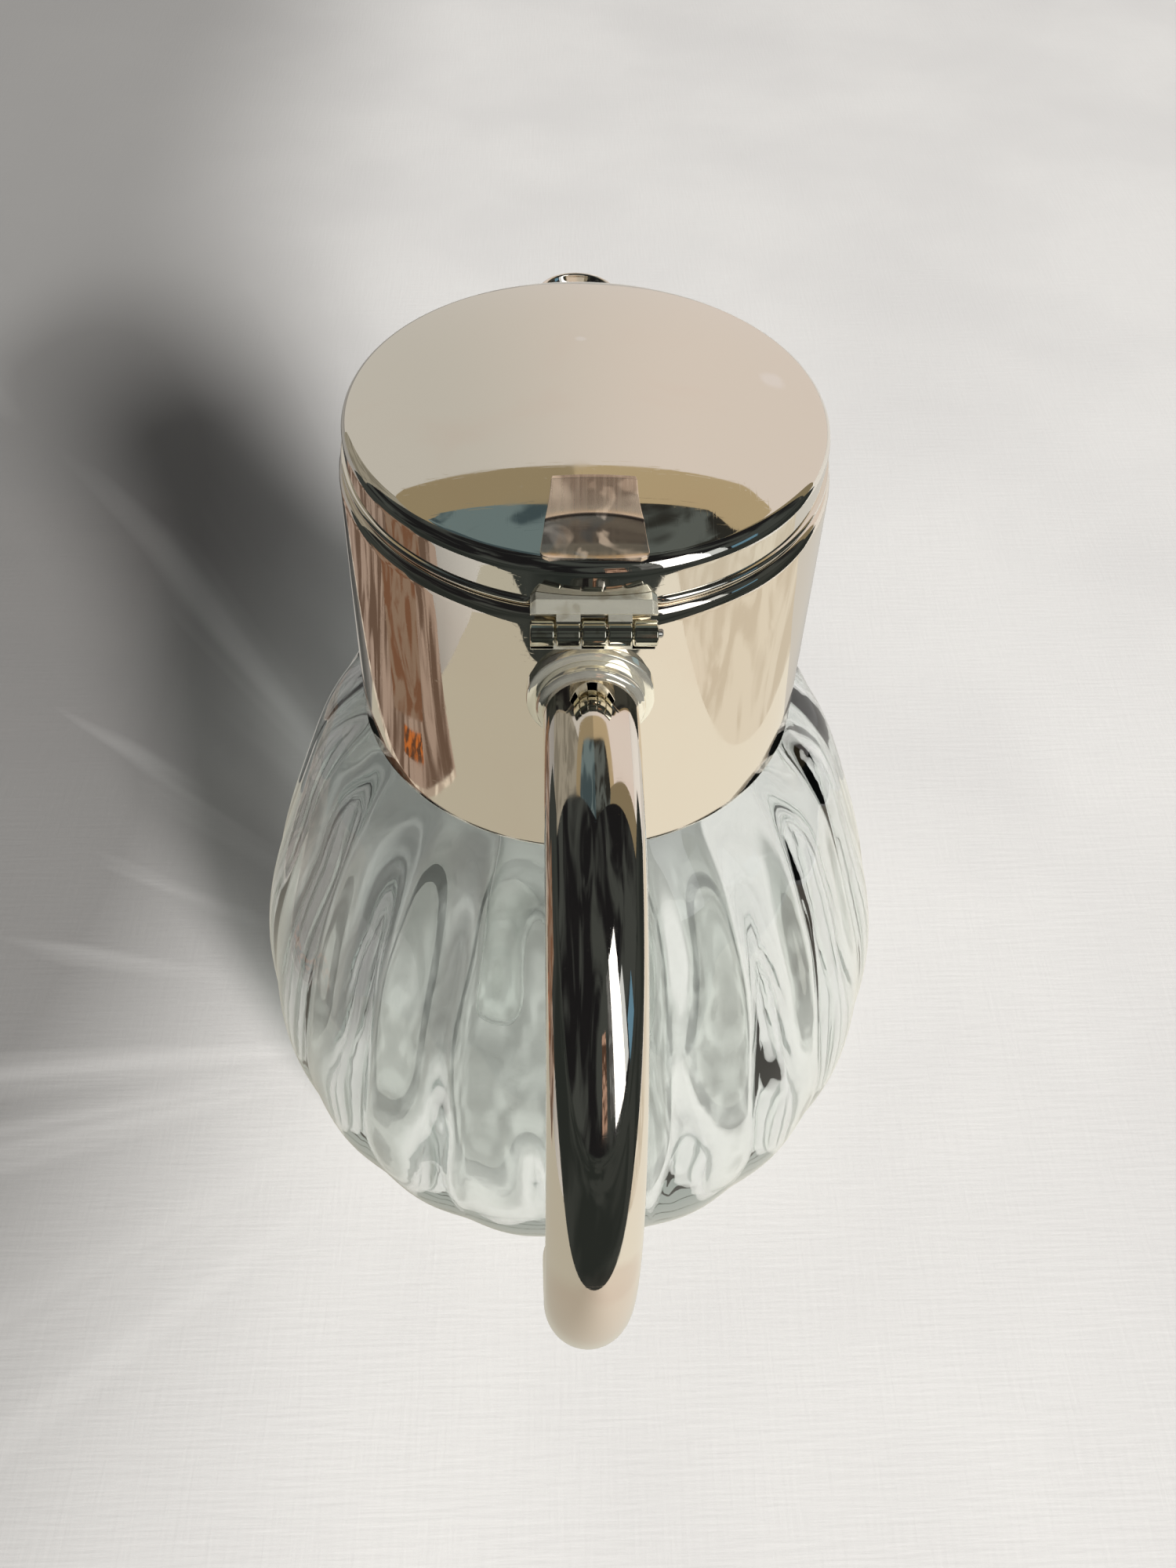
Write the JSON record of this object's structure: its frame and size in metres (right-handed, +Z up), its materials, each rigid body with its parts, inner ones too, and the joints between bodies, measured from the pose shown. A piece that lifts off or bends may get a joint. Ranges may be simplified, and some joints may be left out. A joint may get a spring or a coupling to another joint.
{
  "type": "glass carafe",
  "caption": "Lidded blown-glass carafe with a plated collar, hinged domed lid with a thumb rest, curved tube handle, pouring spout and a hanging ice tube.",
  "frame": {"origin": "middle of the flat base, on the ground plane", "axes": "+Z up, handle towards -Y, spout towards +Y"},
  "size_m": [0.1714, 0.2246, 0.2418],
  "materials": {
    "jug_glass": "clear blown glass with a faint green edge tint",
    "tube_glass": "clear drawn glass",
    "cement": "matt cement",
    "plated_mount": "warm silver plate, polished and lightly worn",
    "plated_spout": "warm silver plate, polished",
    "plated_handle": "warm silver plate, polished and worn on the bend",
    "plated_lid": "warm silver plate with fine worn patches",
    "plated_inside": "silver plate, duller inside",
    "brushed_thumb_rest": "brushed, plate worn to a bronze tone",
    "pin_steel": "drawn pin",
    "brass_fixing": "machined"
  },
  "bodies": {
    "jug": {"glass_body": "jug_glass", "neck_cement": "cement", "collar_shell": "plated_mount", "carrier_seat_ring": "plated_inside", "spout_body": "plated_spout", "spout_strainer": "plated_inside", "handle_tube": "plated_handle", "handle_flange": "plated_handle", "handle_ferrule": "plated_handle", "handle_end_cap": "plated_handle", "handle_stud": "brass_fixing", "handle_washer": "brass_fixing", "handle_nut": "brass_fixing", "hinge_collar_leaf": "plated_mount", "hinge_pin": "pin_steel"},
    "lid": {"lid_shell": "plated_lid", "lid_bezel": "plated_inside", "thumb_rest": "brushed_thumb_rest", "hinge_lid_leaf": "plated_lid"},
    "ice_insert": {"ice_tube": "tube_glass", "ice_tube_carrier": "plated_inside"}
  },
  "joints": [
    {"name": "lid_hinge", "type": "hinge", "parent": "jug", "child": "lid", "pos_m": [0, -0.0513, 0.2224], "axis": [1, 0, 0], "range_deg": [0, 100]},
    {"name": "ice_tube_lift", "type": "slide", "parent": "jug", "child": "ice_insert", "axis": [0, 0, 1], "range_m": [0, 0.015]}
  ]
}
